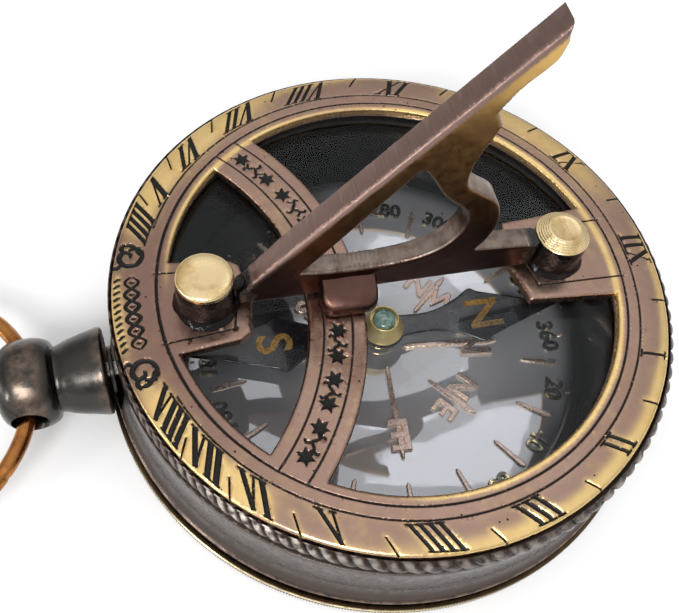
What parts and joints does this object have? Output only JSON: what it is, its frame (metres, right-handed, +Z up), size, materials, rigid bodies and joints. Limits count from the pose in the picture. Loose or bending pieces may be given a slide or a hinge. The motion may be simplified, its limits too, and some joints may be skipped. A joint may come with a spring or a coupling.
{
  "type": "pocket sundial compass",
  "caption": "Round brass case with a glazed compass, an hour ring with roman numerals, a folding gnomon on two posts and a bow on a ball pendant.",
  "frame": {"origin": "centre of the resting face, on the axis of the case", "axes": "+Z up out of the dial; +X along the noon line towards XII; the pendant is at -X; the gnomon folds towards +Y"},
  "size_m": [0.1238, 0.0796, 0.0616],
  "materials": {
    "dial_bronze": "antique copper-brown patina rubbed back to bright brass at the edges",
    "polished_brass": "turned and polished",
    "gunmetal": "brass chemically blackened to a dark grey-brown, satin",
    "gnomon_bronze": "dark brown patina, polished",
    "bow_copper": "orange-brown patina on bent wire",
    "black_lacquer": "thick glossy black lacquer",
    "black_enamel": "smooth black enamel",
    "needle_black": "blackened steel",
    "pivot_steel": "bright steel",
    "rubber_black": "matt rubber",
    "clear_glass": "clear flat crystal",
    "jewel_glass": "grey-green polished glass"
  },
  "bodies": {
    "case": {"base_cover": "polished_brass", "case_body": "gunmetal", "rope_bezel": "gunmetal", "compass_bowl": "black_enamel", "compass_card": "black_enamel", "pivot_boss": "polished_brass", "pivot_pin": "pivot_steel", "crystal_gasket": "rubber_black", "crystal_glass": "clear_glass", "dial_plate": "dial_bronze", "post_south": "black_lacquer", "post_north": "black_lacquer", "post_screw_south": "polished_brass", "post_screw_north": "polished_brass", "gnomon_pin_south": "pivot_steel", "gnomon_pin_north": "pivot_steel", "pendant_collar": "gunmetal", "pendant_stem": "gunmetal", "pendant_stud": "pivot_steel", "pendant_nut": "polished_brass"},
    "gnomon": {"gnomon": "gnomon_bronze"},
    "needle": {"compass_needle": "needle_black", "needle_hub": "polished_brass", "jewel_cup": "jewel_glass"},
    "bow": {"bow_ring": "bow_copper"}
  },
  "joints": [
    {"name": "gnomon_fold", "type": "hinge", "parent": "case", "child": "gnomon", "pos_m": [0, 0, 0.0222], "axis": [-1, 0, 0], "range_deg": [0, 90]},
    {"name": "needle_spin", "type": "hinge", "parent": "case", "child": "needle", "pos_m": [0, 0, 0.007], "axis": [0, 0, 1], "continuous": true},
    {"name": "bow_swing", "type": "hinge", "parent": "case", "child": "bow", "pos_m": [-0.05015, -0.00219, 0.0078], "axis": [-0.0436, 0.999, 0], "range_deg": [-105, 135]}
  ]
}
